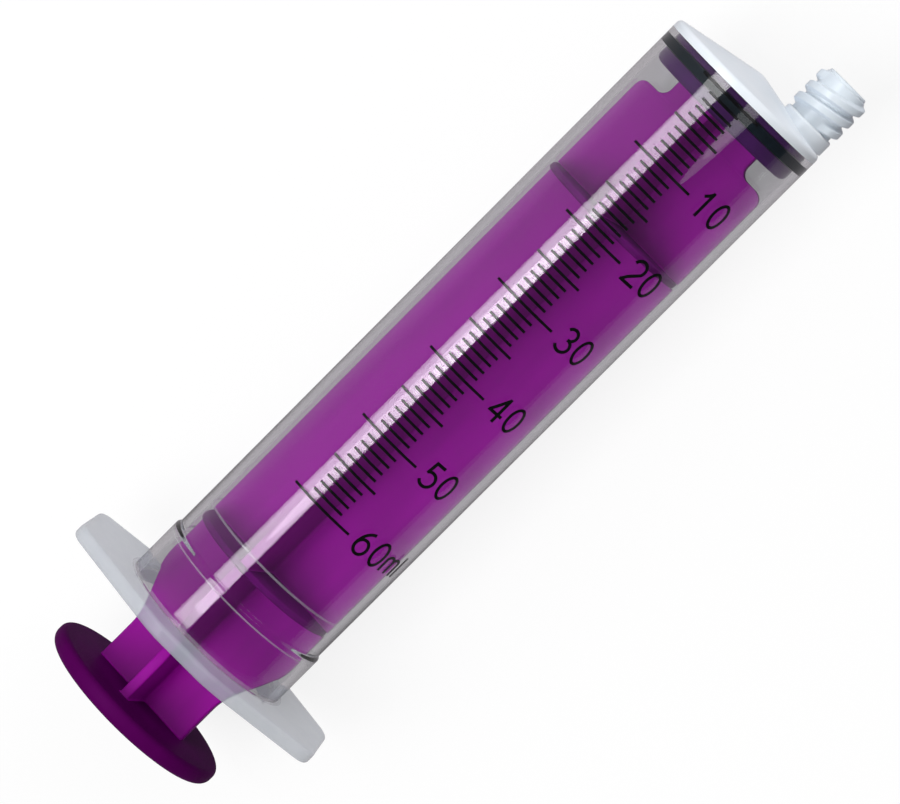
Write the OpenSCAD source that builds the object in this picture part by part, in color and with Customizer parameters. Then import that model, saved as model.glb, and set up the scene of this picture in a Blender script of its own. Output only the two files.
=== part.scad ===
// Oral syringe of 60 ml: a clear graduated barrel with finger flange and offset threaded
// nozzle, and a purple plunger that carries a sealing ring. The syringe lies along X with its
// tip towards +X and its finger wings along Y, on the plane Z = 0.
// Lengths along the axis are measured from the zero line of the scale, positive to the tip.

/* [Barrel] */
// Outside diameter of the tube
barrel_d = 31.5; // [31.2:0.1:31.9]
// Diameter of the bore that the seal slides in
bore_d = 28.86; // [28.8:0.02:28.9]
// Outside diameter of the thicker rear collar
collar_d = 32.3; // [32:0.1:33]
// Place of the step up to the collar
collar_start = -112; // [-116:0.5:-109]
// Place of the small ring that keeps the sealing ring in
retaining_ridge = -105.3; // [-105.8:0.1:-105]
// Bore diameter at the retaining ring
ridge_d = 28.56; // [28.5:0.02:28.6]
// Place where the bore opens out towards its mouth
mouth_start = -113.4; // [-115:0.2:-112]
// Diameter of the open mouth
mouth_d = 29.5; // [29.1:0.1:30]

/* [Finger flange] */
// Place of the front face of the flange
flange_front = -121.9; // [-123:0.1:-120]
// Thickness of the flange
flange_t = 2.5; // [2:0.1:3]
// Tip to tip length across both wings
flange_span = 52.8; // [51:0.2:54]
// Width of the flange across its two flats
flange_width = 44.8; // [44:0.2:46]
// Length of the flat in the middle of each long side
flange_flat = 10; // [8:0.5:12]
// Radius of the curves beside the flats
flange_side_r = 19.4; // [18.6:0.2:20.4]
// Angle by which the edges of a wing close in towards its tip
wing_angle = 31.8; // [30:0.2:33]
// Corner radius of the wing tips
wing_corner_r = 4; // [3:0.5:5]

/* [Tip] */
// Place where the tube ends and the front wall begins
wall_start = 1.45; // [1.4:0.05:1.6]
// Place of the rounded shoulder's corner
shoulder = 2.9; // [2.7:0.1:3.2]
// Radius of the rounded shoulder
shoulder_r = 0.9; // [0.5:0.1:1.2]
// Place of the front wall's outer point
cone_point = 5.95; // [5.5:0.05:6.5]
// Thickness of the front wall, along the axis
wall_t = 1.5; // [1.2:0.1:1.6]
// Distance of the nozzle's axis from the barrel's axis
nozzle_offset = 10.8; // [10:0.1:10.9]
// Diameter of the plain boss under the nozzle
boss_d = 9.44; // [9:0.1:9.8]
// Place where the boss ends and the threaded nozzle begins
boss_end = 5.8; // [5.5:0.1:6.2]
// Place of the nozzle's open end
nozzle_end = 14.5; // [14:0.1:15.5]
// Diameter of the nozzle between the thread ridges
nozzle_root_d = 8.1; // [7.8:0.1:8.4]
// Diameter of the plain nose in front of the thread
nose_d = 7.7; // [7.4:0.1:8]
// Diameter of the socket inside the nozzle
socket_d = 5.6; // [5:0.1:6]
// Depth of the socket
socket_depth = 7.9; // [6:0.1:8.2]
// Diameter of the passage from the barrel into the socket
orifice_d = 2.4; // [1.5:0.1:3]

/* [Nozzle thread] */
// Diameter over the thread ridges
thread_d = 9.84; // [9.4:0.02:9.9]
// Number of thread starts
thread_starts = 2; // [1:1:2]
// Distance between neighbouring ridges
thread_pitch = 2.5; // [2.4:0.05:2.6]

/* [Plunger] */
// Diameter of the piston head's discs
head_d = 28.4; // [28.3:0.02:28.5]
// Place of the rear face of the piston head
head_rear = -4; // [-4.4:0.1:-3.8]
// Half width of the narrow neck behind the head
neck_half = 8.9; // [8:0.1:10]
// Place where the ribs widen behind the neck
neck_rear = -7.9; // [-9:0.1:-7]
// Half width of the ribs inside the barrel
rib_half = 14.2; // [14:0.05:14.2]
// Thickness of each rib
rib_t = 1.8; // [1.4:0.1:2.4]
// Half width of the ribs where the plunger leaves the barrel
tail_half = 9.9; // [9:0.1:11]
// Place where the ribs begin to narrow
taper_start = -115.5; // [-117:0.5:-114]
// Place where the ribs have reached the tail's width
taper_end = -130; // [-131:0.5:-128]
// Middle of the front stiffening disc
front_disc = -27.9; // [-30:0.1:-25]
// Middle of the rear stiffening disc
rear_disc = -107.9; // [-108.5:0.1:-107.2]
// Diameter of the stiffening discs
disc_d = 28; // [27.9:0.05:28.1]
// Thickness of the stiffening discs
disc_t = 1.2; // [1:0.1:1.6]
// Diameter of the thumb disc
thumb_d = 35; // [32:0.5:38]
// Place of the front face of the thumb disc
thumb_front = -137.2; // [-139:0.1:-136]
// Thickness of the thumb disc
thumb_t = 3.2; // [2.8:0.1:4]
// Angle by which the plunger's cross of ribs is turned from upright
plunger_angle = -13; // [-45:1:45]

/* [Sealing ring] */
// Outside diameter of the ring in the bore
ring_d = 28.76; // [28.72:0.02:28.78]
// Width of the ring
ring_w = 1.78; // [1.7:0.02:1.8]
// Place of the ring's middle
ring_middle = -0.6; // [-0.65:0.01:-0.55]
// Diameter of the groove's floor
groove_d = 23.8; // [23:0.2:24.2]
// Gap between the ring and its groove, on each side
groove_gap = 0.04; // [0.03:0.01:0.06]

/* [Scale] */
// Volume at the last line, in ml
full_volume = 60; // [50:10:60]
// Width of a line
line_w = 0.4; // [0.3:0.05:0.5]
// Thickness of the ink
ink_t = 0.04; // [0.03:0.01:0.06]
// Height of a numeral
numeral_h = 4.9; // [4:0.1:5.2]
// Width of a numeral
numeral_w = 3; // [2.6:0.1:3.2]
// Width of a numeral's stroke
stroke_w = 0.5; // [0.35:0.05:0.55]

/* [Hidden] */

barrel_r = barrel_d / 2;
bore_r = bore_d / 2;
collar_r = collar_d / 2;
// The collar and the mouth are reached over short slopes
step_run = 0.6;
mouth_run = 0.8;
ridge_base = 1.3;
ridge_top = 0.5;
nozzle_r = nozzle_root_d / 2;
flange_rear = flange_front - flange_t;
thumb_rear = thumb_front - thumb_t;
thumb_edge_r = 1.3;
thumb_blend_r = 1.5;
head_edge_r = 1.1;
neck_fillet = 1.8;
rib_corner_r = 1.8;
// The piston's pointed front follows the front wall with a small gap
head_gap = 0.15;
nose_chamfer = 0.4;
nose_len = 0.6;
ring_r = ring_d / 2;
ring_corner = 0.45;
groove_r = groove_d / 2;
groove_front = ring_middle + ring_w / 2 + groove_gap;
groove_rear = ring_middle - ring_w / 2 - groove_gap;
// Ridges of the thread stand this deep in the nozzle, so that they are one with it
thread_root = 0.05;
thread_base_w = 1.9;
thread_crest_w = 1;
thread_start = boss_end + thread_base_w / 2;
thread_stop = nozzle_end - nose_len - thread_base_w / 2;
steps_per_turn = 36;
// The ridges rise out of the nozzle and sink back into it over this many steps
fade_rings = 3;
// Turn of the thread about the nozzle
thread_phase = 119;
// The bore sets how far apart the millilitre lines are
line_pitch = 1000 / (PI * bore_r * bore_r);
// Angles round the barrel start at the uppermost line, towards the nozzle's side
ten_span = [-26, 19];
five_span = [-21, 13];
one_span = [-15, 8];
tens_digit_angle = 30;
units_digit_angle = 43.8;
unit_angle = 60;
// The numerals stand a little nearer the tip than their lines
numeral_rise = 0.6;
// Where the middle of the whole length and the lowest point come to lie
axial_shift = -(nozzle_end + thumb_rear) / 2;
axis_height = flange_width / 2;

// Points of a circular or elliptic arc
function arc(c, rx, ry, a0, a1, n) =
    [for (i = [0:n]) let (a = a0 + (a1 - a0) * i / n) c + [rx * cos(a), ry * sin(a)]];
function unit(v) = v / norm(v);
function tangent(p, i) = unit(p[min(i + 1, len(p) - 1)] - p[max(i - 1, 0)]);
function side(p, d) =
    [for (i = [0:len(p) - 1]) let (t = tangent(p, i)) p[i] + d * [-t.y, t.x]];
function reversed(v) = [for (i = [len(v) - 1:-1:0]) v[i]];

// Everything is drawn along its own Z and then laid down along X
module lay_down() {
    translate([axial_shift, 0, axis_height]) rotate([90, 0, 90]) children();
}

module spin(profile) {
    rotate_extrude($fn = 144) polygon(profile);
}

// ---- Barrel ----

module barrel_tube() {
    color("#cfd6da") lay_down() spin([
        [barrel_r, wall_start],
        [barrel_r, collar_start],
        [collar_r, collar_start - step_run],
        [collar_r, flange_front],
        [mouth_d / 2, flange_front],
        [mouth_d / 2, mouth_start - mouth_run],
        [bore_r, mouth_start],
        [bore_r, retaining_ridge - ridge_base / 2],
        [ridge_d / 2, retaining_ridge - ridge_top / 2],
        [ridge_d / 2, retaining_ridge + ridge_top / 2],
        [bore_r, retaining_ridge + ridge_base / 2],
        [bore_r, wall_start]
    ]);
}

// Each long side is a flat between two arcs, and straight edges lead to the rounded wing tips
module flange_outline() {
    r = wing_corner_r;
    side_y = flange_width / 2 - sqrt(pow(flange_side_r, 2) - pow(flange_flat / 2, 2));
    flat = acos(flange_flat / 2 / flange_side_r);
    touch = 90 - wing_angle;
    x = flange_span / 2 - r;
    y = side_y + (flange_side_r - r - x * sin(wing_angle)) / cos(wing_angle);
    quarter = concat(arc([x, y], r, r, 0, touch, 6),
        arc([0, side_y], flange_side_r, flange_side_r, touch, flat, 5));
    upper = concat(quarter, [for (p = reversed(quarter)) [-p.x, p.y]]);
    polygon(concat(upper, [for (p = reversed(upper)) [p.x, -p.y]]));
}

module finger_flange() {
    color("#b8c2c8") lay_down() translate([0, 0, flange_rear]) difference() {
        linear_extrude(height = flange_t) flange_outline();
        translate([0, 0, -1]) cylinder(h = flange_t + 2, d = mouth_d, $fn = 144);
    }
}

// Shallow pointed wall with a rounded shoulder, and the boss that carries the nozzle
module front_wall() {
    slope = atan2(cone_point - shoulder, barrel_r);
    rounding = arc([barrel_r - shoulder_r, shoulder - shoulder_r], shoulder_r, shoulder_r,
        0, 90 - slope, 6);
    color("#e3e8ee") lay_down() difference() {
        union() {
            spin(concat([[0, wall_start], [0, cone_point]], reversed(rounding),
                [[barrel_r, wall_start]]));
            translate([-nozzle_offset, 0, shoulder - shoulder_r])
                cylinder(h = boss_end - shoulder + shoulder_r, d = boss_d, $fn = 96);
        }
        spin([[0, wall_start - 1], [0, cone_point - wall_t], [bore_r, wall_start],
            [bore_r, wall_start - 1]]);
        translate([-nozzle_offset, 0, 0]) cylinder(h = boss_end + 1, d = orifice_d, $fn = 48);
    }
}

module nozzle() {
    socket_floor = nozzle_end - socket_depth;
    color("#d3dde6") lay_down() translate([-nozzle_offset, 0, 0]) spin([
        [orifice_d / 2, boss_end],
        [nozzle_r, boss_end],
        [nozzle_r, nozzle_end - nose_len],
        [nose_d / 2, nozzle_end - nose_len],
        [nose_d / 2, nozzle_end - nose_chamfer],
        [nose_d / 2 - nose_chamfer, nozzle_end],
        [socket_d / 2, nozzle_end],
        [socket_d / 2, socket_floor],
        [orifice_d / 2, socket_floor]
    ]);
}

// One ridge swept along a right-handed helix, and run out to nothing at both ends
module thread_ridge(phase) {
    lead = thread_pitch * thread_starts;
    rings = floor((thread_stop - thread_start) / lead * steps_per_turn);
    function rise(i) = min(1, 0.12 + 0.88 * min(i, rings - i) / fade_rings);
    function ring_point(i, along, r) =
        let (a = phase + 360 * i / steps_per_turn, z = thread_start + lead * i / steps_per_turn)
        [r * cos(a), r * sin(a), z + along];
    function section(i) =
        let (inner = nozzle_r - thread_root, outer = nozzle_r + (thread_d / 2 - nozzle_r) * rise(i))
        [
            ring_point(i, -thread_base_w / 2, inner),
            ring_point(i, -thread_base_w / 2, nozzle_r + 0.05),
            ring_point(i, -thread_crest_w / 2, outer),
            ring_point(i, thread_crest_w / 2, outer),
            ring_point(i, thread_base_w / 2, nozzle_r + 0.05),
            ring_point(i, thread_base_w / 2, inner)
        ];
    corners = 6;
    points = [for (i = [0:rings]) each section(i)];
    walls = [for (i = [0:rings - 1]) for (k = [0:corners - 1])
        let (a = corners * i + k, b = corners * i + (k + 1) % corners)
        each [[a, a + corners, b + corners], [a, b + corners, b]]];
    caps = [
        [for (k = [0:corners - 1]) k],
        [for (k = [corners - 1:-1:0]) corners * rings + k]
    ];
    polyhedron(points = points, faces = concat(walls, caps));
}

module nozzle_thread() {
    color("#dce4ec") lay_down() translate([-nozzle_offset, 0, 0])
        for (i = [0:thread_starts - 1]) thread_ridge(thread_phase + i * 360 / thread_starts);
}

// ---- Scale ----

module ring_line(ml, span) {
    translate([0, 0, -ml * line_pitch - line_w / 2])
        rotate_extrude(angle = span[1] - span[0], start = 90 + span[0], $fn = 144)
            translate([barrel_r, 0]) square([ink_t, line_w]);
}

module one_ml_lines() {
    color("#111111") lay_down()
        for (ml = [0:full_volume]) if (ml % 5 != 0) ring_line(ml, one_span);
}

module five_ml_lines() {
    color("#111111") lay_down() for (ml = [5:10:full_volume]) ring_line(ml, five_span);
}

module ten_ml_lines() {
    color("#111111") lay_down() for (ml = [0:10:full_volume]) ring_line(ml, ten_span);
}

module stroke(p) {
    polygon(concat(side(p, stroke_w / 2), reversed(side(p, -stroke_w / 2))));
}

module bar(a, b) {
    stroke([a, b]);
}

module oval(c, rx, ry) {
    difference() {
        polygon(arc(c, rx + stroke_w / 2, ry + stroke_w / 2, 0, 350, 35));
        polygon(arc(c, rx - stroke_w / 2, ry - stroke_w / 2, 0, 350, 35));
    }
}

// Plain numerals of one stroke width, in a box of w by h
module numeral(digit) {
    w = numeral_w - stroke_w;
    h = numeral_h - stroke_w;
    end = stroke_w / 2;
    if (digit == 0) oval([w / 2, h / 2], w / 2, h / 2);
    if (digit == 1) {
        bar([0.55 * w, -end], [0.55 * w, h + end]);
        bar([0.1 * w, 0.74 * h], [0.55 * w, h]);
    }
    if (digit == 2) {
        stroke(concat(arc([w / 2, 0.7 * h], w / 2, 0.3 * h, 165, -30, 14), [[0, 0]]));
        bar([-end, 0], [w + end, 0]);
    }
    if (digit == 3) {
        stroke(arc([0.46 * w, 0.76 * h], 0.44 * w, 0.24 * h, 155, -90, 14));
        stroke(arc([0.46 * w, 0.27 * h], 0.54 * w, 0.27 * h, 90, -150, 14));
        bar([0.3 * w, 0.53 * h], [0.5 * w, 0.53 * h]);
    }
    if (digit == 4) {
        bar([0.74 * w, -end], [0.74 * w, h + end]);
        bar([0.74 * w, h], [0, 0.28 * h]);
        bar([-end, 0.28 * h], [w + end, 0.28 * h]);
    }
    if (digit == 5) {
        bar([0.16 * w, h], [0.94 * w, h]);
        bar([0.2 * w, h + end], [0.1 * w, 0.5 * h]);
        stroke(arc([0.44 * w, 0.31 * h], 0.56 * w, 0.31 * h, 135, -150, 16));
    }
    if (digit == 6) {
        oval([w / 2, 0.31 * h], w / 2, 0.31 * h);
        stroke(arc([0.92 * w, 0.33 * h], 0.92 * w, 0.67 * h, 182, 98, 12));
    }
}

// Lays a flat outline as ink on the barrel, centred on an angle and standing on a height
module ink_on_barrel(angle, z, w) {
    intersection() {
        rotate([0, 0, 90 + angle]) rotate([90, 0, 90]) translate([-w / 2, z, 0])
            linear_extrude(height = barrel_r + 1) children();
        difference() {
            translate([0, 0, z - 1]) cylinder(h = numeral_h + 2, r = barrel_r + ink_t, $fn = 144);
            translate([0, 0, z - 2]) cylinder(h = numeral_h + 4, r = barrel_r, $fn = 144);
        }
    }
}

function numeral_foot(ml) = numeral_rise - ml * line_pitch - (numeral_h - stroke_w) / 2;

module scale_numerals() {
    w = numeral_w - stroke_w;
    color("#111111") lay_down() for (ml = [10:10:full_volume]) {
        ink_on_barrel(tens_digit_angle, numeral_foot(ml), w) numeral(ml / 10);
        ink_on_barrel(units_digit_angle, numeral_foot(ml), w) numeral(0);
    }
}

// The letters of the unit, m and l, a little smaller than the numerals
module unit_outline(arch) {
    x_height = 0.63 * numeral_h;
    for (x = [0, 2 * arch, 4 * arch]) bar([x, 0], [x, x_height - arch / 2]);
    for (x = [arch, 3 * arch]) stroke(arc([x, x_height - arch], arch, arch, 180, 0, 12));
    bar([5.4 * arch, 0], [5.4 * arch, 0.87 * numeral_h]);
}

module unit_letters() {
    arch = 0.27 * numeral_w;
    color("#111111") lay_down()
        ink_on_barrel(unit_angle, numeral_foot(full_volume), 5.4 * arch) unit_outline(arch);
}

// ---- Plunger ----

module plunger_frame() {
    lay_down() rotate([0, 0, plunger_angle]) children();
}

// Pointed front, groove for the ring, and a rear disc with a rounded edge
module piston_head() {
    head_r = head_d / 2;
    front = wall_start - head_gap;
    point = cone_point - wall_t - head_gap;
    rear_edge = arc([head_r - head_edge_r, head_rear + head_edge_r], head_edge_r, head_edge_r,
        0, -90, 5);
    color("#5b1f78") plunger_frame() spin(concat(
        [[0, head_rear], [0, point], [head_r, front], [head_r, groove_front],
            [groove_r, groove_front], [groove_r, groove_rear], [head_r, groove_rear]],
        rear_edge
    ));
}

// Two flat webs that cross on the axis
module crossed(outline) {
    for (a = [0, 90]) rotate([0, 0, a]) rotate([90, 0, 0])
        translate([0, 0, -rib_t / 2]) linear_extrude(height = rib_t)
            polygon(concat(outline, [for (p = reversed(outline)) [-p.x, p.y]]));
}

module front_ribs() {
    front_end = front_disc + disc_t / 2;
    corner = [rib_half - rib_corner_r, neck_rear - rib_corner_r];
    notch = [neck_half + neck_fillet, neck_rear + neck_fillet];
    color("#8a1a8c") plunger_frame() crossed(concat(
        [[neck_half, head_rear]],
        arc(notch, neck_fillet, neck_fillet, 180, 270, 5),
        arc(corner, rib_corner_r, rib_corner_r, 90, 0, 5),
        [[rib_half, front_end]]
    ));
}

module middle_ribs() {
    color("#8a1a8c") plunger_frame() crossed([
        [rib_half, front_disc - disc_t / 2], [rib_half, rear_disc + disc_t / 2]
    ]);
}

// The webs narrow along a soft S on their way out of the barrel
module tail_ribs() {
    steps = 10;
    color("#8a1a8c") plunger_frame() crossed(concat(
        [[rib_half, rear_disc - disc_t / 2]],
        [for (i = [0:steps]) let (t = i / steps)
            [rib_half - (rib_half - tail_half) * (1 - cos(180 * t)) / 2,
                taper_start + (taper_end - taper_start) * t]],
        [[tail_half, thumb_front]]
    ));
}

module stiffening_disc(middle) {
    color("#7d1880") plunger_frame() translate([0, 0, middle - disc_t / 2])
        cylinder(h = disc_t, d = disc_d, $fn = 144);
}

module front_disc_rib() {
    stiffening_disc(front_disc);
}

module rear_disc_rib() {
    stiffening_disc(rear_disc);
}

module thumb_disc() {
    edge = thumb_d / 2;
    rear_arc = arc([edge - thumb_edge_r, thumb_rear + thumb_edge_r], thumb_edge_r,
        thumb_edge_r, -90, 0, 6);
    front_arc = arc([edge - thumb_blend_r, thumb_front - thumb_blend_r], thumb_blend_r,
        thumb_blend_r, 0, 90, 6);
    color("#55105c") plunger_frame()
        spin(concat([[0, thumb_front], [0, thumb_rear]], rear_arc, front_arc));
}

// ---- Seal ----

module seal_ring() {
    inner = groove_r + groove_gap;
    low = ring_middle - ring_w / 2;
    high = ring_middle + ring_w / 2;
    color("#0c1a22") lay_down() spin(concat(
        [[inner, high], [inner, low]],
        arc([ring_r - ring_corner, low + ring_corner], ring_corner, ring_corner, -90, 0, 4),
        arc([ring_r - ring_corner, high - ring_corner], ring_corner, ring_corner, 0, 90, 4)
    ));
}

barrel_tube();
finger_flange();
front_wall();
nozzle();
nozzle_thread();
one_ml_lines();
five_ml_lines();
ten_ml_lines();
scale_numerals();
unit_letters();
piston_head();
front_ribs();
front_disc_rib();
middle_ribs();
rear_disc_rib();
tail_ribs();
thumb_disc();
seal_ring();
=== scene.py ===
import math

import bmesh
import bpy
from mathutils import Matrix, Vector


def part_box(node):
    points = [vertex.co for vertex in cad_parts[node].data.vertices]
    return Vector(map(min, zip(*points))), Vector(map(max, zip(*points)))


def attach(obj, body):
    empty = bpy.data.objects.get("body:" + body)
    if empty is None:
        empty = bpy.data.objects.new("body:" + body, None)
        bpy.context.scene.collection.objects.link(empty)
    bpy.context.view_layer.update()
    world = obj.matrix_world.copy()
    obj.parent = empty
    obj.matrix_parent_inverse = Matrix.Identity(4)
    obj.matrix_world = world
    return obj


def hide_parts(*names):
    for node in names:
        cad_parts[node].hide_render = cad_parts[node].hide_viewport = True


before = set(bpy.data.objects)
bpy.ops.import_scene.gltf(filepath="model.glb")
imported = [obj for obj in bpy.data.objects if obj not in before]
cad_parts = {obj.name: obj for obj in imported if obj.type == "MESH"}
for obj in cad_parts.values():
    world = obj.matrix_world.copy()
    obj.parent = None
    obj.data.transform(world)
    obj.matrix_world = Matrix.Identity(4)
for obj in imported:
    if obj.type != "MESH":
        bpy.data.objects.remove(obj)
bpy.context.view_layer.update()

# ---- Frame ----
# Shapes are worked out in millimetres. Lengths along the barrel are measured from the zero line
# of the scale, positive to the tip. Angles round it start at the top and grow towards -Y.

MM = 0.001
LINE_WIDTH = 0.4
INK_SPREAD = 0.06
FULL_VOLUME = 60
line_low, line_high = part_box("ten_ml_lines")
tube_low, tube_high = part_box("barrel_tube")
ZERO_X = line_high.x / MM - LINE_WIDTH / 2
AXIS_Z = (tube_low.z + tube_high.z) / 2 / MM


def stretch(node):
    """Rear end, front end and radius of a CAD node."""
    low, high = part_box(node)
    return low.x / MM - ZERO_X, high.x / MM - ZERO_X, (high.y - low.y) / 2 / MM


def place(x, radius, angle, offset=0):
    """A point in metres from its place along the barrel, its radius and its angle in degrees."""
    a = math.radians(angle)
    return Vector((
        (ZERO_X + x) * MM,
        (-offset - radius * math.sin(a)) * MM,
        (AXIS_Z + radius * math.cos(a)) * MM,
    ))


# ---- Sizes that the frame's boxes don't give ----

# A name that ends in _R is a radius, and one that ends in _HALF a half width. Angles are in degrees.

JOINT_GAP = 0.01
RING_CLEARANCE = 0.05

# Tube
BARREL_R = 15.75
STEP_START = -111.85
STEP_END = -112.35
STEP_BLEND_R = 0.3
# A thin pale ring a little behind the step, which is a painted glint
STEP_GLINT_PLACE = -113.2
STEP_GLINT_INNER_R = 15.91
STEP_GLINT_OUTER_R = 16.05
STEP_GLINT_WIDTH = 0.3
MOUTH_START = -113.4
MOUTH_R = 14.75
MOUTH_SLOPE = 4.6
MOUTH_BLEND_R = 8
RIDGE_PLACE = -105.3
RIDGE_R = 14.28
RIDGE_WIDTH = 0.4

# Tip wall, boss and nozzle
WALL_THICKNESS = 1.5
SHOULDER = 2.9
SHOULDER_R = 0.9
CONE_POINT = 5.95
POINT_BLEND_R = 1.0
BOSS_R = 4.72
BOSS_EDGE_R = 0.5
ORIFICE_R = 1.2
SOCKET_R = 2.8
SOCKET_DEPTH = 7.9
NOSE_R = 3.85
NOSE_LENGTH = 0.6

# Thread
THREAD_PITCH = 2.5
THREAD_STARTS = 2
THREAD_PHASE = 119
THREAD_HALF_BASE = 0.95
THREAD_HALF_CREST = 0.5
THREAD_FADE_TURNS = 1 / 12

# Plunger, with the ring's groove and the grip rings behind the thumb disc
GROOVE_R = 11.9
GROOVE_GAP = 0.04
HEAD_RIM = 1.3
HEAD_REAR_EDGE_R = 1.1
NECK_HALF = 8.9
NECK_REAR = -7.9
NECK_BLEND_R = 1.8
TAIL_HALF = 9.9
TAPER_START = -115.5
TAPER_END = -130.0
RIB_HALF = 14.2
RIB_THICKNESS = 1.8
RIB_EDGE_R = 0.28
RIB_INNER_R = 0.7
RIB_FILLET_R = 0.3
PLUNGER_ANGLE = -13
GRIP_RINGS = (12.5, 10.0, 7.5)
GRIP_DEPTH = 0.3
GRIP_EDGE_R = 0.15

# Finger flange
FLANGE_FLAT = 10
FLANGE_RIM_R = 0.75
FLANGE_HOLE_RIM_R = 0.3
FLANGE_FILLET_R = 0.7
FLANGE_SIDE_R = 19.4
WING_ANGLE = 31.8
WING_CORNER_R = 4

# Print
INK_THICKNESS = 0.04
INK_LIFT = 0.004
NUMERAL_H = 4.9
NUMERAL_W = 3.0
NUMERAL_SHIFT = 0.6
STROKE_WIDTH = 0.5
TENS_DIGIT_ANGLE = 30
UNITS_DIGIT_ANGLE = 43.8
UNIT_ANGLE = 60

bore_r = stretch("seal_ring")[2] + RING_CLEARANCE

# Two lines lie 1 ml apart: a slice of the bore that holds 1000 cubic millimetres.
line_pitch = 1000 / (math.pi * bore_r ** 2)


# ---- Outlines ----

def arc(cx, cy, rx, ry, start, end, steps):
    """Points of a circular or elliptic arc."""
    turns = [math.radians(start + (end - start) * i / steps) for i in range(steps + 1)]
    return [(cx + rx * math.cos(t), cy + ry * math.sin(t)) for t in turns]


def rounded(corners, closed=True, step=11):
    """Points of an outline whose corners are (x, y) or (x, y, radius), with an arc at each radius."""
    points = []
    count = len(corners)
    for i, corner in enumerate(corners):
        p = Vector(corner[:2])
        radius = corner[2] if len(corner) > 2 else 0
        inside = closed or 0 < i < count - 1
        if radius == 0 or not inside:
            points.append(tuple(p))
            continue
        back = (Vector(corners[i - 1][:2]) - p).normalized()
        ahead = (Vector(corners[(i + 1) % count][:2]) - p).normalized()
        half = back.angle(ahead) / 2
        centre = p + (back + ahead).normalized() * radius / math.sin(half)
        reach = radius / math.tan(half)
        first = p + back * reach - centre
        last = p + ahead * reach - centre
        turn = first.angle_signed(last)
        steps = max(2, math.ceil(abs(math.degrees(turn)) / step))
        for k in range(steps + 1):
            c, s = math.cos(-turn * k / steps), math.sin(-turn * k / steps)
            points.append((centre.x + first.x * c - first.y * s, centre.y + first.x * s + first.y * c))
    return points


# ---- Meshes ----

SHARP_ANGLE = math.radians(32)


def make_piece(name, points, faces):
    """A smooth-shaded object from points in metres, with outward normals."""
    mesh = bpy.data.meshes.new(name)
    mesh.from_pydata([tuple(p) for p in points], [], faces)
    work = bmesh.new()
    work.from_mesh(mesh)
    bmesh.ops.recalc_face_normals(work, faces=work.faces)
    work.to_mesh(mesh)
    work.free()
    for polygon in mesh.polygons:
        polygon.use_smooth = True
    mesh.set_sharp_from_angle(angle=SHARP_ANGLE)
    piece = bpy.data.objects.new(name, mesh)
    bpy.context.scene.collection.objects.link(piece)
    return piece


def lathe(name, outline, segments=256, offset=0, swell=None):
    """A turned solid. outline holds (x, radius) points. It is closed, or starts and ends on the axis."""
    points, rows = [], []
    on_axis = outline[0][1] < 1e-6
    for x, radius in outline:
        if radius < 1e-6:
            rows.append([len(points)])
            points.append(place(x, 0, 0, offset))
            continue
        rows.append(list(range(len(points), len(points) + segments)))
        for k in range(segments):
            angle = 360 * k / segments
            points.append(place(x, radius + (swell(x, radius, angle) if swell else 0), angle, offset))
    faces = []
    for i in range(len(rows) - 1 if on_axis else len(rows)):
        a, b = rows[i], rows[(i + 1) % len(rows)]
        for k in range(segments):
            n = (k + 1) % segments
            if len(a) == 1:
                faces.append((a[0], b[k], b[n]))
            elif len(b) == 1:
                faces.append((a[k], b[0], a[n]))
            else:
                faces.append((a[k], b[k], b[n], a[n]))
    return make_piece(name, points, faces)


def combine(piece, other, operation):
    """Joins another closed piece to this one, or cuts it out, and removes the other."""
    modifier = piece.modifiers.new(operation, "BOOLEAN")
    modifier.operation = operation
    modifier.solver = "EXACT"
    modifier.object = other
    graph = bpy.context.evaluated_depsgraph_get()
    mesh = bpy.data.meshes.new_from_object(piece.evaluated_get(graph))
    piece.modifiers.clear()
    piece.data = mesh
    bpy.data.objects.remove(other)
    for polygon in mesh.polygons:
        polygon.use_smooth = True
    mesh.set_sharp_from_angle(angle=SHARP_ANGLE)
    return piece


# ---- Barrel ----

def clear_barrel():
    """The tube with its thicker collar and its widened mouth."""
    rear, front, collar_r = stretch("barrel_tube")
    end, rear = front - JOINT_GAP, rear + JOINT_GAP
    outline = rounded([
        (end, BARREL_R),
        (STEP_START, BARREL_R, STEP_BLEND_R),
        (STEP_END, collar_r, STEP_BLEND_R),
        (rear, collar_r),
        (rear, MOUTH_R),
        (MOUTH_START - MOUTH_SLOPE, MOUTH_R, MOUTH_BLEND_R),
        (MOUTH_START, bore_r, MOUTH_BLEND_R),
        (end, bore_r),
    ])
    return lathe("clear_barrel", outline, segments=288)


def bead(name, x, inner, outer, width):
    """A thin ring with rounded edges."""
    glint_and_fillet = min(outer - inner, width) * 0.4
    return lathe(name, rounded([
        (x + width / 2, inner, glint_and_fillet),
        (x + width / 2, outer, glint_and_fillet),
        (x - width / 2, outer, glint_and_fillet),
        (x - width / 2, inner, glint_and_fillet),
    ]))


def retaining_bead():
    """The small ring in the bore that keeps the sealing ring in."""
    return bead("retaining_bead", RIDGE_PLACE, RIDGE_R, bore_r - JOINT_GAP / 2, RIDGE_WIDTH)


def step_glint():
    """A painted glint: a fine light line in the wall, a little behind where the collar begins, for the
    highlight on the collar's step.
    """
    return bead("step_glint", STEP_GLINT_PLACE, STEP_GLINT_INNER_R, STEP_GLINT_OUTER_R, STEP_GLINT_WIDTH)


def between(a, b, steps):
    """Points on the straight line from a to b, without its ends."""
    dx, dy = b[0] - a[0], b[1] - a[1]
    return [(a[0] + dx * i / steps, a[1] + dy * i / steps) for i in range(1, steps)]


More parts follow.
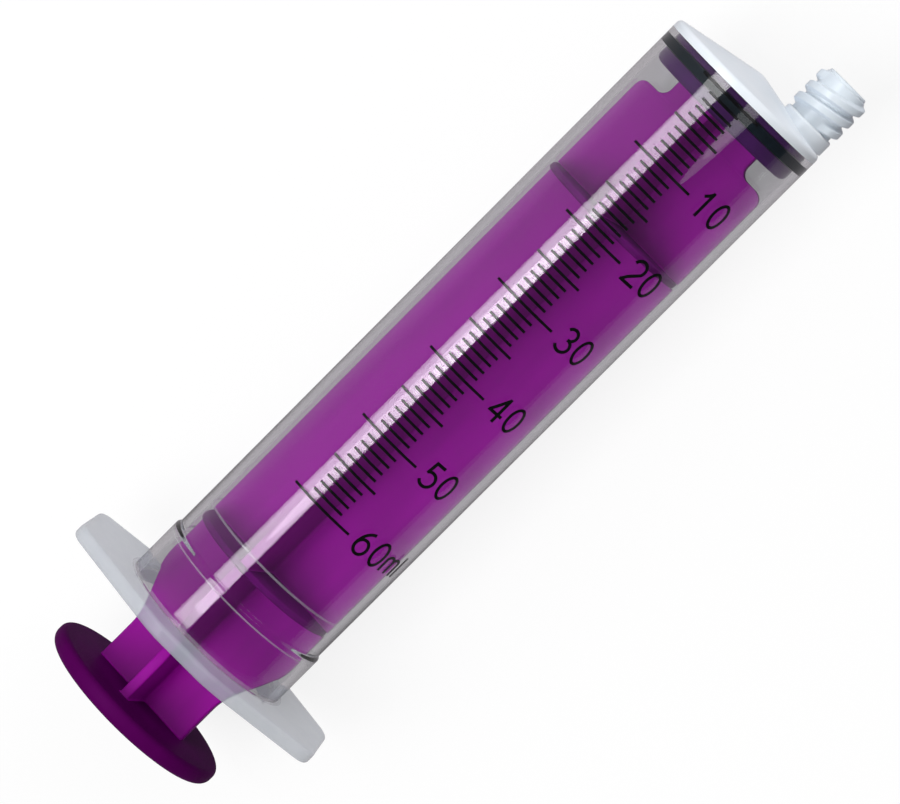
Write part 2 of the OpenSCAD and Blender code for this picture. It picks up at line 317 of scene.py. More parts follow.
def flange_outline():
    """Two flats with a curve at each end, and straight edges that lead to the rounded wing tips."""
    low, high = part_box("finger_flange")
    span, width = (high.y - low.y) / MM, (high.z - low.z) / MM
    r = WING_CORNER_R
    lean = math.radians(WING_ANGLE)
    side_y = width / 2 - math.sqrt(FLANGE_SIDE_R ** 2 - (FLANGE_FLAT / 2) ** 2)
    flat = math.degrees(math.acos(FLANGE_FLAT / 2 / FLANGE_SIDE_R))
    x = span / 2 - r
    y = side_y + (FLANGE_SIDE_R - r - x * math.sin(lean)) / math.cos(lean)
    tip = arc(x, y, r, r, 0, 90 - WING_ANGLE, 10)
    curve = arc(0, side_y, FLANGE_SIDE_R, FLANGE_SIDE_R, 90 - WING_ANGLE, flat, 20)
    middle = (0.0, width / 2)
    quarter = between((span / 2, 0), tip[0], 8) + tip + between(tip[-1], curve[0], 16) + curve
    quarter += between(curve[-1], middle, 6)
    upper = [(span / 2, 0.0)] + quarter + [middle] + [(-px, py) for px, py in reversed(quarter)]
    return upper + [(-px, -py) for px, py in upper]


def flange_fillet():
    """The rounded corner between the collar and the front of the flange."""
    front = stretch("finger_flange")[1]
    collar_r = stretch("barrel_tube")[2]
    r = FLANGE_FILLET_R
    inner = collar_r + JOINT_GAP
    face = front + JOINT_GAP
    curve = arc(front + r, inner + r, r, r, 180, 270, 8)
    return lathe("flange_fillet", [(face, inner)] + [(max(x, face), y) for x, y in curve])


def finger_wings():
    """The flange plate with rounded rims, open in the middle."""
    rear, front, _ = stretch("finger_flange")
    outer = [Vector(p) for p in flange_outline()]
    count = len(outer)
    normals = []
    for i in range(count):
        along = (outer[(i + 1) % count] - outer[i - 1]).normalized()
        normals.append(Vector((along.y, -along.x)))
    if sum(n.dot(p) for n, p in zip(normals, outer)) < 0:
        normals = [-n for n in normals]
    bands = []
    steps = 6
    for side, face in ((-1, rear), (1, front)):
        order = range(steps + 1) if side < 0 else range(steps, -1, -1)
        for k in order:
            a = math.pi / 2 * k / steps
            inset, depth = FLANGE_RIM_R * (1 - math.sin(a)), FLANGE_RIM_R * (1 - math.cos(a))
            bands.append([(face - side * depth, p - n * inset) for p, n in zip(outer, normals)])
    for side, face in ((1, front), (-1, rear)):
        order = range(steps + 1) if side > 0 else range(steps, -1, -1)
        for k in order:
            a = math.pi / 2 * k / steps
            grow = FLANGE_HOLE_RIM_R * (1 - math.sin(a))
            depth = FLANGE_HOLE_RIM_R * (1 - math.cos(a))
            bands.append([(face - side * depth, p.normalized() * (MOUTH_R + grow)) for p in outer])
    places = [spot for band in bands for spot in band]
    points = [place(x, p.length, math.degrees(math.atan2(-p.x, p.y))) for x, p in places]
    faces = []
    for i in range(len(bands)):
        j = (i + 1) % len(bands)
        for k in range(count):
            n = (k + 1) % count
            faces.append((i * count + k, j * count + k, j * count + n, i * count + n))
    return make_piece("finger_wings", points, faces)


def tip_wall():
    """The shallow pointed wall with its rounded shoulder, the boss and the passage through it."""
    rear, front, _ = stretch("front_wall")
    boss_end = stretch("nozzle")[0]
    offset = nozzle_offset()
    slope = (CONE_POINT - SHOULDER) / BARREL_R
    inner_point = CONE_POINT - WALL_THICKNESS
    boss_start = SHOULDER + 0.2
    wall = lathe("tip_wall", soft_point(CONE_POINT, slope) + rounded([
        (CONE_POINT - slope, POINT_BLEND_R),
        (SHOULDER, BARREL_R, SHOULDER_R),
        (rear, BARREL_R),
        (rear, bore_r),
        (inner_point, 0),
    ], closed=False))
    boss = lathe("boss", rounded([
        (boss_end - JOINT_GAP, 0),
        (boss_end - JOINT_GAP, BOSS_R, BOSS_EDGE_R),
        (boss_start, BOSS_R),
        (boss_start, 0),
    ], closed=False), segments=128, offset=offset)
    hollow = lathe("hollow", [
        (inner_point, 0),
        (rear, bore_r),
        (rear - 1, bore_r),
        (rear - 1, 0),
    ])
    passage = lathe("passage", [
        (boss_end + 1, 0),
        (boss_end + 1, ORIFICE_R),
        (0, ORIFICE_R),
        (0, 0),
    ], segments=48, offset=offset)
    combine(wall, boss, "UNION")
    combine(wall, hollow, "DIFFERENCE")
    return combine(wall, passage, "DIFFERENCE")


def soft_point(x, slope):
    """The rounded middle of a shallow cone whose sharp point would be at x."""
    return [(x - drop * slope, radius) for drop, radius in ((0.45, 0), (0.5, 0.25), (0.65, 0.55))]


def nozzle_offset():
    """Distance of the nozzle's axis from the barrel's axis, towards -Y."""
    low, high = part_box("nozzle")
    return -(low.y + high.y) / 2 / MM


def smooth_step(t):
    """0 below 0, 1 above 1 and a soft rise between."""
    t = min(1, max(0, t))
    return t * t * (3 - 2 * t)


def threaded_nozzle():
    """The nozzle with its two-start thread raised out of the wall, and its open socket."""
    rear, front, root_r = stretch("nozzle")
    thread_low, thread_high, crest_r = stretch("nozzle_thread")
    first, last = thread_low + THREAD_HALF_BASE, thread_high - THREAD_HALF_BASE
    lead = THREAD_PITCH * THREAD_STARTS
    fade = lead * THREAD_FADE_TURNS
    foot = THREAD_HALF_BASE + 0.12
    run_out = 0.2
    outside = NOSE_R - 0.5

    def swell(x, radius, angle):
        if radius < outside:
            return 0
        turn = (90 + angle - THREAD_PHASE) / 360
        ridge = first + lead * turn
        ridge += THREAD_PITCH * round((x - ridge) / THREAD_PITCH)
        away = abs(x - ridge)
        height = smooth_step((foot - away) / (foot - THREAD_HALF_CREST))
        height *= smooth_step((ridge - first + run_out) / fade)
        height *= smooth_step((last - ridge + run_out) / fade)
        return height * (crest_r - root_r)

    nose = front - NOSE_LENGTH
    steps = 96
    outline = [(rear + (nose - rear) * i / steps, root_r) for i in range(steps + 1)]
    outline += rounded([
        (nose, root_r),
        (nose + 0.1, NOSE_R),
        (front, NOSE_R, 0.35),
        (front, SOCKET_R + 0.1, 0.12),
        (front - SOCKET_DEPTH, SOCKET_R - 0.12, 0.2),
        (front - SOCKET_DEPTH, ORIFICE_R),
    ], closed=False)[1:]
    outline.append((rear, ORIFICE_R))
    return lathe("threaded_nozzle", outline, segments=180, offset=nozzle_offset(), swell=swell)


# ---- Scale ----

def ink_strip(paths, name):
    """Thin closed ribbons on the outside of the tube. Each path holds (arc length, x) points."""
    longest = 0.3
    points, faces = [], []
    for path, width in paths:
        fine = [path[0]]
        for a, b in zip(path, path[1:]):
            steps = max(1, math.ceil(math.dist(a, b) / longest))
            fine += between(a, b, steps) + [b]
        start = len(points)
        for i, p in enumerate(fine):
            along = Vector(fine[min(i + 1, len(fine) - 1)]) - Vector(fine[max(i - 1, 0)])
            side = Vector((-along.y, along.x)).normalized() * width / 2
            low, high = BARREL_R + INK_LIFT, BARREL_R + INK_THICKNESS
            for sign, radius in ((-1, low), (1, low), (1, high), (-1, high)):
                q = Vector(p) + side * sign
                points.append(place(q.y, radius, math.degrees(q.x / BARREL_R)))
        for i in range(len(fine) - 1):
            a, b = start + 4 * i, start + 4 * i + 4
            faces += [(a + k, a + (k + 1) % 4, b + (k + 1) % 4, b + k) for k in range(4)]
        end = start + 4 * (len(fine) - 1)
        faces += [(start + 3, start + 2, start + 1, start), (end, end + 1, end + 2, end + 3)]
    return make_piece(name, points, faces)


def ring_lines(name, node, volumes):
    """Equal lines round the tube, as long as the CAD node's."""
    low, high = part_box(node)
    radius = BARREL_R + INK_THICKNESS
    left = -math.asin(high.y / MM / radius) * BARREL_R
    right = -math.asin(low.y / MM / radius) * BARREL_R
    rows = [-ml * line_pitch for ml in volumes]
    return ink_strip([([(left, x), (right, x)], LINE_WIDTH + INK_SPREAD) for x in rows], name)


def numeral(digit):
    """Strokes of a plain numeral, in a box of w by h."""
    w, h, end = NUMERAL_W - STROKE_WIDTH, NUMERAL_H - STROKE_WIDTH, STROKE_WIDTH / 2
    if digit == 0:
        return [arc(w / 2, h / 2, w / 2, h / 2, 0, 360, 48)]
    if digit == 1:
        return [[(0.55 * w, -end), (0.55 * w, h + end)],
                [(0.1 * w, 0.72 * h), (0.36 * w, 0.84 * h), (0.55 * w, h)]]
    if digit == 2:
        return [arc(w / 2, 0.7 * h, w / 2, 0.3 * h, 165, -30, 20) + [(0.25 * w, 0.2 * h), (0.02 * w, 0)],
                [(-end, 0), (w + end, 0)]]
    if digit == 3:
        return [arc(0.46 * w, 0.76 * h, 0.44 * w, 0.24 * h, 155, -90, 20),
                arc(0.46 * w, 0.27 * h, 0.54 * w, 0.27 * h, 90, -155, 22)]
    if digit == 4:
        return [[(0.74 * w, -end), (0.74 * w, h + end)], [(0.74 * w, h), (0, 0.28 * h)],
                [(-end, 0.28 * h), (w + end, 0.28 * h)]]
    if digit == 5:
        return [[(0.16 * w, h), (0.94 * w, h)], [(0.2 * w, h + end), (0.1 * w, 0.5 * h)],
                arc(0.44 * w, 0.31 * h, 0.56 * w, 0.31 * h, 135, -150, 22)]
    return [arc(w / 2, 0.31 * h, w / 2, 0.31 * h, 0, 360, 40),
            arc(0.92 * w, 0.33 * h, 0.92 * w, 0.67 * h, 182, 98, 16)]


def unit_strokes():
    """Strokes of the letters m and l, and how wide they are together."""
    arch = 0.27 * NUMERAL_W
    end = 5.4 * arch
    x_height = 0.63 * NUMERAL_H
    strokes = [[(x, 0), (x, x_height - arch / 2)] for x in (0, 2 * arch, 4 * arch)]
    strokes += [arc(x, x_height - arch, arch, arch, 180, 0, 14) for x in (arch, 3 * arch)]
    return strokes + [[(end, 0), (end, 0.87 * NUMERAL_H)]], end


def set_strokes(strokes, width, ml, angle):
    """Strokes placed beside a line of the scale, centred on an angle."""
    left = math.radians(angle) * BARREL_R - width / 2
    foot = NUMERAL_SHIFT - ml * line_pitch - (NUMERAL_H - STROKE_WIDTH) / 2
    return [([(left + u, foot + v) for u, v in path], STROKE_WIDTH + INK_SPREAD) for path in strokes]


def numerals():
    """10 to 60, each beside its line."""
    strips = []
    for ml in range(10, FULL_VOLUME + 1, 10):
        for digit, angle in ((ml // 10, TENS_DIGIT_ANGLE), (0, UNITS_DIGIT_ANGLE)):
            strips += set_strokes(numeral(digit), NUMERAL_W - STROKE_WIDTH, ml, angle)
    return ink_strip(strips, "printed_numerals")


def unit_letters():
    """The unit, after the numeral of the last line."""
    strokes, width = unit_strokes()
    return ink_strip(set_strokes(strokes, width, FULL_VOLUME, UNIT_ANGLE), "printed_unit")


# ---- Plunger ----

def cross_outline(half, thick):
    """Section of the crossed ribs: four arms with rounded edges and blended inner corners."""
    tip = 0.5 * thick
    blend, glint_and_fillet = RIB_INNER_R, RIB_EDGE_R
    right = arc(tip + blend, tip + blend, blend, blend, 225, 180, 3)
    right += arc(tip - glint_and_fillet, half - glint_and_fillet, glint_and_fillet, glint_and_fillet, 0, 90, 3)
    arm = right + [(-x, y) for x, y in reversed(right)][:-1]
    outline = []
    for turn in range(4):
        for x, y in arm:
            outline.append([(x, y), (-y, x), (-x, -y), (y, -x)][turn])
    return outline


def crossed_ribs(name, plate):
    """Crossed ribs along the barrel, which thicken into what they meet at both ends.

    plate holds (x, half width) points from the tip end back.
    """
    least_step = 0.012
    stations = []
    last = None
    for x, half in plate:
        if last is not None and last - x < least_step:
            x = last - least_step
        stations.append((x, half))
        last = x
    ends = (plate[0], plate[-1])
    for sign, (end, half) in zip((-1, 1), ends):
        stations += [(end + sign * RIB_FILLET_R * t, half) for t in (0.1, 0.3, 0.6, 1)]
    stations.sort(key=lambda station: -station[0])
    points, count = [], 0
    for x, half in stations:
        thick = RIB_THICKNESS
        for end, _ in ends:
            near = min(1, abs(x - end) / RIB_FILLET_R)
            thick += 2 * RIB_FILLET_R * (1 - math.sqrt(1 - (1 - near) ** 2))
        outline = cross_outline(half, thick)
        count = len(outline)
        for u, v in outline:
            angle = math.degrees(math.atan2(-u, v)) + PLUNGER_ANGLE
            points.append(place(x, math.hypot(u, v), angle))
    faces = []
    for i in range(len(stations) - 1):
        for k in range(count):
            n = (k + 1) % count
            faces.append((i * count + k, i * count + n, (i + 1) * count + n, (i + 1) * count + k))
    faces.append(tuple(range(count)))
    faces.append(tuple(range((len(stations) - 1) * count, len(stations) * count)))
    return make_piece(name, points, faces)


def piston_head():
    """Two discs with the ring's groove between them, and a front that follows the tip wall."""
    rear, front, head_r = stretch("piston_head")
    ring_rear, ring_front, _ = stretch("seal_ring")
    groove_front, groove_rear = ring_front + GROOVE_GAP, ring_rear - GROOVE_GAP
    slope = (front - HEAD_RIM) / head_r
    outline = soft_point(front, slope) + rounded([
        (front - slope, POINT_BLEND_R),
        (HEAD_RIM, head_r, 0.35),
        (groove_front, head_r, 0.2),
        (groove_front, GROOVE_R, 0.3),
        (groove_rear, GROOVE_R, 0.3),
        (groove_rear, head_r, 0.2),
        (rear, head_r, HEAD_REAR_EDGE_R),
        (rear, 0),
    ], closed=False)
    return lathe("piston_head_purple", outline)


def rib_disc(node, name):
    """A thin stiffening disc with a rounded rim."""
    rear, front, disc_r = stretch(node)
    rim = 0.45
    outline = rounded([(front, 0), (front, disc_r, rim), (rear, disc_r, rim), (rear, 0)], closed=False)
    return lathe(name, outline)


def thumb_plate():
    """The thumb disc, with a rounded rim and shallow grip rings behind."""
    rear, front, thumb_r = stretch("thumb_disc")
    corners = [
        (front, 0),
        (front, thumb_r, 1.1),
        (rear, thumb_r, 1.5),
    ]
    floor_x = rear + GRIP_DEPTH
    for ring_r in GRIP_RINGS:
        corners += [
            (rear, ring_r + 0.45, GRIP_EDGE_R),
            (floor_x, ring_r + 0.2, GRIP_EDGE_R),
            (floor_x, ring_r - 0.2, GRIP_EDGE_R),
            (rear, ring_r - 0.45, GRIP_EDGE_R),
        ]
    return lathe("thumb_plate", rounded(corners + [(rear, 0)], closed=False))


def seal_ring():
    """The rubber ring, squeezed flat against the bore."""
    rear, front, _ = stretch("seal_ring")
    outer, inner = bore_r + 0.02, GROOVE_R + 0.1
    outline = rounded([
        (front, outer, 0.12),
        (rear, outer, 0.12),
        (rear, inner, 0.5),
        (front, inner, 0.5),
    ])
    return lathe("seal_ring_rubber", outline)


def plunger_plates():
    """Half widths of the three stretches of ribs, from the tip end back."""
    head_rear = stretch("piston_head")[0]
    front_rear, front_front, _ = stretch("front_disc_rib")
    rear_rear, rear_front, _ = stretch("rear_disc_rib")
    thumb_front = stretch("thumb_disc")[1]
    gap = JOINT_GAP
    front_plate = rounded([
        (head_rear - gap, NECK_HALF),
        (NECK_REAR, NECK_HALF, NECK_BLEND_R),
        (NECK_REAR, RIB_HALF, NECK_BLEND_R),
        (front_front + gap, RIB_HALF),
    ], closed=False)
    middle_plate = [(front_rear - gap, RIB_HALF), (rear_front + gap, RIB_HALF)]
    taper = TAPER_START - TAPER_END
    steps = 24
    tail_plate = [(rear_rear - gap, RIB_HALF)]
    for i in range(steps + 1):
        t = i / steps
        drop = (1 - math.cos(math.pi * t)) / 2
        tail_plate.append((TAPER_START - taper * t, RIB_HALF + (TAIL_HALF - RIB_HALF) * drop))
    tail_plate.append((thumb_front + gap, TAIL_HALF))
    return front_plate, middle_plate, tail_plate


# ---- Materials ----

PLASTIC_IOR = 1.49
FINE_BUMP = 0.00002


def new_material(name):
    """A material with an empty node tree and an output."""
    material = bpy.data.materials.new(name)
    material.use_nodes = True
    nodes = material.node_tree.nodes
    nodes.clear()
    output = nodes.new("ShaderNodeOutputMaterial")
    return material, nodes, material.node_tree.links, output


def noise(nodes, links, scale, detail=3, stretch_x=1.0):
    """Noise in object space, drawn out along the barrel when stretch_x is small."""
    where = nodes.new("ShaderNodeTexCoord")
    mapping = nodes.new("ShaderNodeMapping")
    mapping.inputs["Scale"].default_value = (stretch_x, 1, 1)
    links.new(where.outputs["Object"], mapping.inputs["Vector"])
    texture = nodes.new("ShaderNodeTexNoise")
    texture.inputs["Scale"].default_value = scale
    texture.inputs["Detail"].default_value = detail
    links.new(mapping.outputs["Vector"], texture.inputs["Vector"])
    return texture.outputs["Fac"]


def ramp(nodes, links, source, low, high):
    """Colours or greys between low and high, over the middle of a noise's range."""
    node = nodes.new("ShaderNodeValToRGB")
    node.color_ramp.elements[0].position = 0.3
    node.color_ramp.elements[1].position = 0.7
    node.color_ramp.elements[0].color = (*low, 1) if isinstance(low, tuple) else (low, low, low, 1)
    node.color_ramp.elements[1].color = (*high, 1) if isinstance(high, tuple) else (high, high, high, 1)
    links.new(source, node.inputs["Fac"])
    return node.outputs["Color"]


def bump(nodes, links, source, strength, height):
    """Small heights in metres, from a noise."""
    node = nodes.new("ShaderNodeBump")
    node.inputs["Strength"].default_value = strength
    node.inputs["Distance"].default_value = height
    links.new(source, node.inputs["Height"])
    return node.outputs["Normal"]


def purple_plastic(name, low, high, gloss):
    """Moulded plastic with faint flow marks along the plunger and a fine surface."""
    material, nodes, links, output = new_material(name)
    shader = nodes.new("ShaderNodeBsdfPrincipled")
    flow = noise(nodes, links, 220, 4, stretch_x=0.12)
    grain = noise(nodes, links, 2600, 2)
    links.new(ramp(nodes, links, flow, low, high), shader.inputs["Base Color"])
    links.new(ramp(nodes, links, grain, 0.46, 0.56), shader.inputs["Roughness"])
    shader.inputs["Specular IOR Level"].default_value = gloss
    links.new(bump(nodes, links, grain, 0.25, FINE_BUMP), shader.inputs["Normal"])
    shader.inputs["IOR"].default_value = PLASTIC_IOR
    links.new(shader.outputs["BSDF"], output.inputs["Surface"])
    return material


def either_ray(nodes, links, first, second):
    """1 for a ray of either kind, else 0."""
    path = nodes.new("ShaderNodeLightPath")
    either = nodes.new("ShaderNodeMath")
    either.operation = "MAXIMUM"
    links.new(path.outputs[first], either.inputs[0])
    links.new(path.outputs[second], either.inputs[1])
    return either.outputs["Value"]


def clear_plastic():
    """Glossy clear plastic with faint draw marks. Light for what is inside passes it unbent."""
    material, nodes, links, output = new_material("clear_plastic")
    shader = nodes.new("ShaderNodeBsdfPrincipled")
    shader.inputs["Transmission Weight"].default_value = 1.0
    shader.inputs["Roughness"].default_value = 0.0
    shader.inputs["IOR"].default_value = PLASTIC_IOR
    tint = noise(nodes, links, 60, 2, stretch_x=0.2)
    tints = ramp(nodes, links, tint, (0.93, 0.94, 0.95), (0.96, 0.965, 0.97))
    links.new(tints, shader.inputs["Base Color"])
    marks = noise(nodes, links, 500, 2, stretch_x=0.03)
    links.new(bump(nodes, links, marks, 0.01, FINE_BUMP), shader.inputs["Normal"])
    open_way = nodes.new("ShaderNodeBsdfTransparent")
    open_way.inputs["Color"].default_value = (0.93, 0.94, 0.95, 1)
    mix = nodes.new("ShaderNodeMixShader")
    links.new(either_ray(nodes, links, "Is Shadow Ray", "Is Diffuse Ray"), mix.inputs["Fac"])
    links.new(shader.outputs["BSDF"], mix.inputs[1])
    links.new(open_way.outputs["BSDF"], mix.inputs[2])
    links.new(mix.outputs["Shader"], output.inputs["Surface"])
    return material


def frosted_plastic(name, low, high, cover=1.0):
    """Milky plastic with cloudy patches. cover is the share of light that a face stops."""
    material, nodes, links, output = new_material(name)
    shader = nodes.new("ShaderNodeBsdfPrincipled")
    cloud = noise(nodes, links, 160, 4)
    grain = noise(nodes, links, 1800, 2)
    links.new(ramp(nodes, links, cloud, low, high), shader.inputs["Base Color"])
    links.new(ramp(nodes, links, grain, 0.29, 0.32), shader.inputs["Roughness"])
    shader.inputs["Alpha"].default_value = cover
    shader.inputs["IOR"].default_value = PLASTIC_IOR
    shader.inputs["Specular IOR Level"].default_value = 0.3
    links.new(shader.outputs["BSDF"], output.inputs["Surface"])
    return material


def seal_rubber():
    """Dark rubber with a fine grain."""
    material, nodes, links, output = new_material("seal_rubber")
    shader = nodes.new("ShaderNodeBsdfPrincipled")
    grain = noise(nodes, links, 1500, 3)
    tints = ramp(nodes, links, grain, (0.0015, 0.006, 0.011), (0.004, 0.011, 0.018))
    links.new(tints, shader.inputs["Base Color"])
    links.new(ramp(nodes, links, grain, 0.4, 0.55), shader.inputs["Roughness"])
    links.new(bump(nodes, links, grain, 0.2, FINE_BUMP), shader.inputs["Normal"])
    shader.inputs["Specular IOR Level"].default_value = 0.1
    links.new(shader.outputs["BSDF"], output.inputs["Surface"])
    return material


def black_ink():
    """Printed ink, a little uneven."""
    material, nodes, links, output = new_material("black_ink")
    shader = nodes.new("ShaderNodeBsdfPrincipled")
    grain = noise(nodes, links, 2500, 3)
    tints = ramp(nodes, links, grain, (0.0015, 0.0015, 0.002), (0.005, 0.005, 0.006))
    links.new(tints, shader.inputs["Base Color"])
    links.new(ramp(nodes, links, grain, 0.08, 0.12), shader.inputs["Roughness"])
    shader.inputs["Specular IOR Level"].default_value = 0.3
    links.new(shader.outputs["BSDF"], output.inputs["Surface"])
    return material


# ---- Assembly ----

def finish_piece(piece, material, slot, body, *nodes):
    """Gives a piece its material and its body. It takes the place of the CAD nodes, if any are named."""
    piece.data.materials.clear()
    piece.data.materials.append(material)
    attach(piece, body)
    if nodes:
        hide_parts(*nodes)


def build_barrel():
    """The clear tube, the milky wings, tip and nozzle, and the fine light lines in the tube, which are
    painted glints.
    """
    clear = clear_plastic()
    milky = frosted_plastic("frosted_plastic", (0.80, 0.86, 0.92), (0.86, 0.90, 0.95))
    pale = frosted_plastic("nozzle_plastic", (0.66, 0.73, 0.80), (0.73, 0.79, 0.85))
    wing = frosted_plastic("wing_plastic", (0.46, 0.50, 0.57), (0.52, 0.56, 0.62), cover=0.48)
    # Painted glint: a pale, mostly see-through plastic that draws thin light lines on the step and the
    # retaining bead; the flange fillet uses it for a faint milky blend.
    glint_and_fillet = frosted_plastic("glint_and_fillet_plastic", (0.62, 0.60, 0.64), (0.70, 0.68, 0.72), cover=0.15)
    finish_piece(clear_barrel(), clear, "clear_plastic", "barrel", "barrel_tube")
    finish_piece(finger_wings(), wing, "frosted_plastic", "barrel", "finger_flange")
    for extra in (flange_fillet(), step_glint(), retaining_bead()):
        finish_piece(extra, glint_and_fillet, "frosted_plastic", "barrel")
    finish_piece(tip_wall(), milky, "frosted_plastic", "barrel", "front_wall")
    finish_piece(threaded_nozzle(), pale, "frosted_plastic", "barrel", "nozzle", "nozzle_thread")


def build_scale():
    """The printed lines, numerals and unit."""
    ink = black_ink()
    lines = (
        ("lines_of_1_ml", "one_ml_lines", [ml for ml in range(FULL_VOLUME) if ml % 5]),
        ("lines_of_5_ml", "five_ml_lines", range(5, FULL_VOLUME, 10)),
        ("lines_of_10_ml", "ten_ml_lines", range(0, FULL_VOLUME + 1, 10)),
    )
    for name, node, volumes in lines:
        finish_piece(ring_lines(name, node, volumes), ink, "black_ink", "barrel", node)
    finish_piece(numerals(), ink, "black_ink", "barrel", "scale_numerals")
    finish_piece(unit_letters(), ink, "black_ink", "barrel", "unit_letters")


def build_plunger():
    """The plunger's stretches and its rubber ring. The solid ones are painted darker than the ribs:
    painted shade on the thumb disc, the rib discs and the piston head, which is also bluer.
    """
    finish_piece(seal_ring(), seal_rubber(), "seal_rubber", "seal", "seal_ring")
    slot, body = "purple_plastic", "plunger"
    purple = purple_plastic("purple_plastic", (0.265, 0.001, 0.265), (0.315, 0.002, 0.315), gloss=0.06)
    # Painted shade: the thumb disc gets a far darker purple than the ribs, for the shade it stands in.
    shaded_purple = purple_plastic("shaded_purple_plastic", (0.075, 0.0005, 0.075), (0.09, 0.0008, 0.09), gloss=0.012)
    # Painted shade: the thin rib discs get a darker purple, for their shaded faces.
    shaded_disc_purple = purple_plastic("shaded_disc_plastic", (0.11, 0.003, 0.12), (0.14, 0.005, 0.15), gloss=0.0)
    # Painted shade: the piston head gets a dark bluish purple, for the shade it lies in at the tip.
    shaded_violet = purple_plastic("shaded_violet_plastic", (0.05, 0.006, 0.085), (0.065, 0.009, 0.105), gloss=0.06)
    front_plate, middle_plate, tail_plate = plunger_plates()
    finish_piece(piston_head(), shaded_violet, slot, body, "piston_head")
    finish_piece(crossed_ribs("front_cross", front_plate), purple, slot, body, "front_ribs")
    finish_piece(rib_disc("front_disc_rib", "front_disc"), shaded_disc_purple, slot, body, "front_disc_rib")
    finish_piece(crossed_ribs("middle_cross", middle_plate), purple, slot, body, "middle_ribs")
    finish_piece(rib_disc("rear_disc_rib", "rear_disc"), shaded_disc_purple, slot, body, "rear_disc_rib")
    finish_piece(crossed_ribs("tail_cross", tail_plate), purple, slot, body, "tail_ribs")
    finish_piece(thumb_plate(), shaded_purple, slot, body, "thumb_disc")


# ---- Studio ----

def lit_surface(nodes, links, color, glow):
    """A matt surface that also gives off a little light of its own, as an even table does."""
    matt = nodes.new("ShaderNodeBsdfDiffuse")
    matt.inputs["Color"].default_value = (*color, 1)
    glowing = nodes.new("ShaderNodeEmission")
    glowing.inputs["Color"].default_value = (1, 1, 1, 1)
    glowing.inputs["Strength"].default_value = glow
    both = nodes.new("ShaderNodeAddShader")
    links.new(matt.outputs["BSDF"], both.inputs[0])
    links.new(glowing.outputs["Emission"], both.inputs[1])
    return both.outputs["Shader"]


def floor():
    """A plain pale floor. Where it shows through the clear tube or in a gloss it is painted darker, a
    painted shade for the shadow round the barrel.
    """
    size = 2.5
    corners = [(-size, -size, 0), (size, -size, 0), (size, size, 0), (-size, size, 0)]
    mesh = bpy.data.meshes.new("floor")
    mesh.from_pydata(corners, [], [(0, 1, 2, 3)])
    piece = bpy.data.objects.new("floor", mesh)
    bpy.context.scene.collection.objects.link(piece)
    material, nodes, links, output = new_material("pale_floor")
    seen = lit_surface(nodes, links, (0.16, 0.16, 0.16), 0.84)
    # Painted shade: rays that do not come from the camera see a grey floor.
    painted_shade_floor = lit_surface(nodes, links, (0.22, 0.20, 0.22), 0.21)
    path = nodes.new("ShaderNodeLightPath")
    mix = nodes.new("ShaderNodeMixShader")
    links.new(path.outputs["Is Camera Ray"], mix.inputs["Fac"])
    links.new(painted_shade_floor, mix.inputs[1])
    links.new(seen, mix.inputs[2])
    links.new(mix.outputs["Shader"], output.inputs["Surface"])
    piece.data.materials.append(material)


def softbox(name, angle, distance, width, length, power, x=0.0, aim=None, shape="RECTANGLE",
            gloss=True, diffuse=True):
    """A lamp that lies along the barrel and faces its axis at aim.

    Its angle is from upright towards +Y, in degrees. gloss and diffuse say what it lights.
    """
    light = bpy.data.lights.new(name, "AREA")
    light.shape = shape
    light.size = length
    light.size_y = width
    light.energy = power
    lamp = bpy.data.objects.new(name, light)
    bpy.context.scene.collection.objects.link(lamp)
    a = math.radians(angle)
    target = Vector((x if aim is None else aim, 0, AXIS_Z * MM))
    where = Vector((x, math.sin(a) * distance, AXIS_Z * MM + math.cos(a) * distance))
    back = (where - target).normalized()
    along = Vector((1, 0, 0))
    along = (along - back * along.dot(back)).normalized()
    turn = Matrix((along, back.cross(along), back)).transposed().to_4x4()
    lamp.matrix_world = Matrix.Translation(where) @ turn
    lamp.visible_camera = False
    lamp.visible_glossy = gloss
    lamp.visible_transmission = gloss
    lamp.visible_diffuse = diffuse


def sky(nodes, links, sideways, first, last, low, high):
    """White light that grows from low to high as its direction turns towards +Y."""
    rise = nodes.new("ShaderNodeMapRange")
    rise.interpolation_type = "SMOOTHSTEP"
    rise.inputs["From Min"].default_value = first
    rise.inputs["From Max"].default_value = last
    rise.inputs["To Min"].default_value = low
    rise.inputs["To Max"].default_value = high
    links.new(sideways, rise.inputs["Value"])
    background = nodes.new("ShaderNodeBackground")
    background.inputs["Strength"].default_value = 1.0
    links.new(rise.outputs["Result"], background.inputs["Color"])
    return background.outputs["Background"]


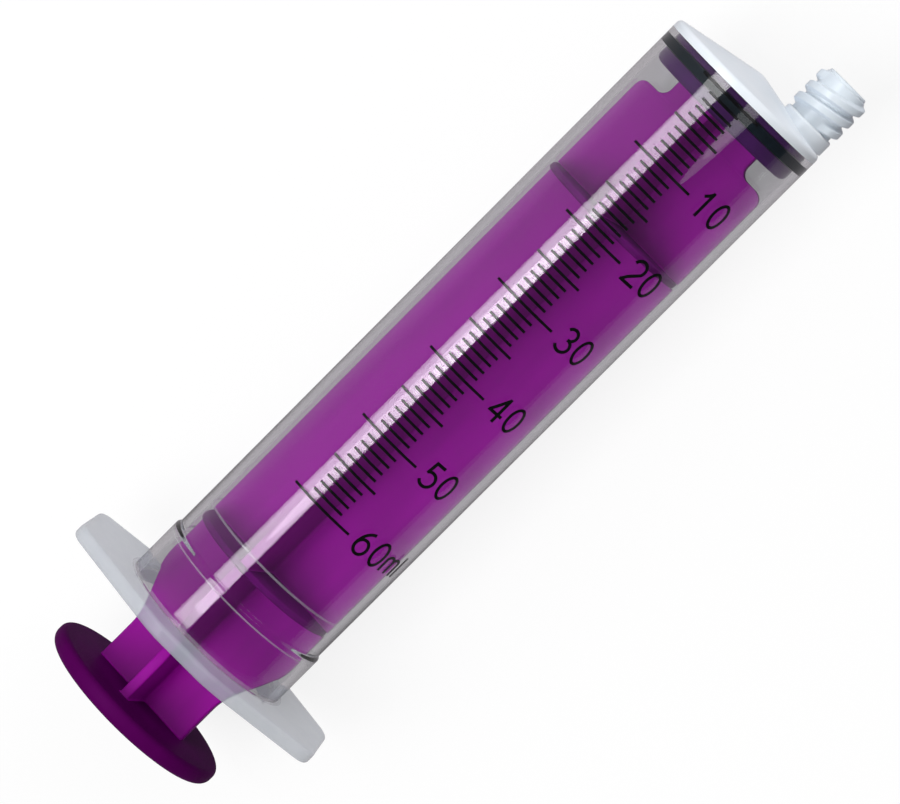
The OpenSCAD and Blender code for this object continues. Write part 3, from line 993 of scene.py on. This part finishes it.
def studio_world():
    """Soft white light, mostly from +Y. Gloss mirrors a dimmer one, so that the tube stays clear."""
    world = bpy.data.worlds.new("studio")
    bpy.context.scene.world = world
    world.use_nodes = True
    nodes, links = world.node_tree.nodes, world.node_tree.links
    nodes.clear()
    output = nodes.new("ShaderNodeOutputWorld")
    where = nodes.new("ShaderNodeTexCoord")
    parts = nodes.new("ShaderNodeSeparateXYZ")
    links.new(where.outputs["Generated"], parts.inputs["Vector"])
    fill = sky(nodes, links, parts.outputs["Y"], -0.5, 0.5, 0.2, 0.5)
    mirrored = sky(nodes, links, parts.outputs["Y"], 0.2, 0.85, 0.08, 0.38)
    mix = nodes.new("ShaderNodeMixShader")
    links.new(either_ray(nodes, links, "Is Glossy Ray", "Is Transmission Ray"), mix.inputs["Fac"])
    links.new(fill, mix.inputs[1])
    links.new(mirrored, mix.inputs[2])
    links.new(mix.outputs["Shader"], output.inputs["Surface"])


def camera():
    """Looks down on the barrel from a little in front, turned so that the tip points up right."""
    lens, distance, tilt = 179.5, 726.2, math.radians(6.84)
    aim = Vector((-4.04, -1.58, AXIS_Z))
    back = Vector((math.sin(tilt), 0, math.cos(tilt)))
    ahead = Vector((math.cos(tilt), 0, -math.sin(tilt)))
    left = Vector((0, 1, 0))
    right = (ahead - left).normalized()
    up = (ahead + left).normalized()
    data = bpy.data.cameras.new("camera")
    data.lens = lens
    data.sensor_width = 36
    data.clip_start = 0.01
    data.clip_end = 20
    piece = bpy.data.objects.new("camera", data)
    bpy.context.scene.collection.objects.link(piece)
    turn = Matrix((right, up, back)).transposed().to_4x4()
    piece.matrix_world = Matrix.Translation((aim + back * distance) * MM) @ turn
    bpy.context.scene.camera = piece


camera()
build_barrel()
build_scale()
build_plunger()
floor()
studio_world()
softbox("key_softbox", 13, 0.9, 0.4, 0.7, 6.2, x=-0.38, gloss=False)
softbox("top_softbox", -10, 1.0, 0.5, 1.0, 0.4, gloss=False)
softbox("tip_softbox", 20, 0.24, 0.35, 0.35, 2.9, x=0.75, aim=0.07, gloss=False)
softbox("strip_softbox", 29.7, 0.8, 0.34, 1.6, 9, diffuse=False)
softbox("core_softbox", 25.4, 0.8, 0.22, 0.115, 0.3, x=-0.056, shape="ELLIPSE", diffuse=False)
softbox("back_softbox", -21, 0.9, 0.62, 0.4, 0.9, x=0.215, shape="ELLIPSE", diffuse=False)
scene = bpy.context.scene
scene.view_settings.view_transform = "Standard"
scene.cycles.caustics_reflective = False
scene.cycles.caustics_refractive = False
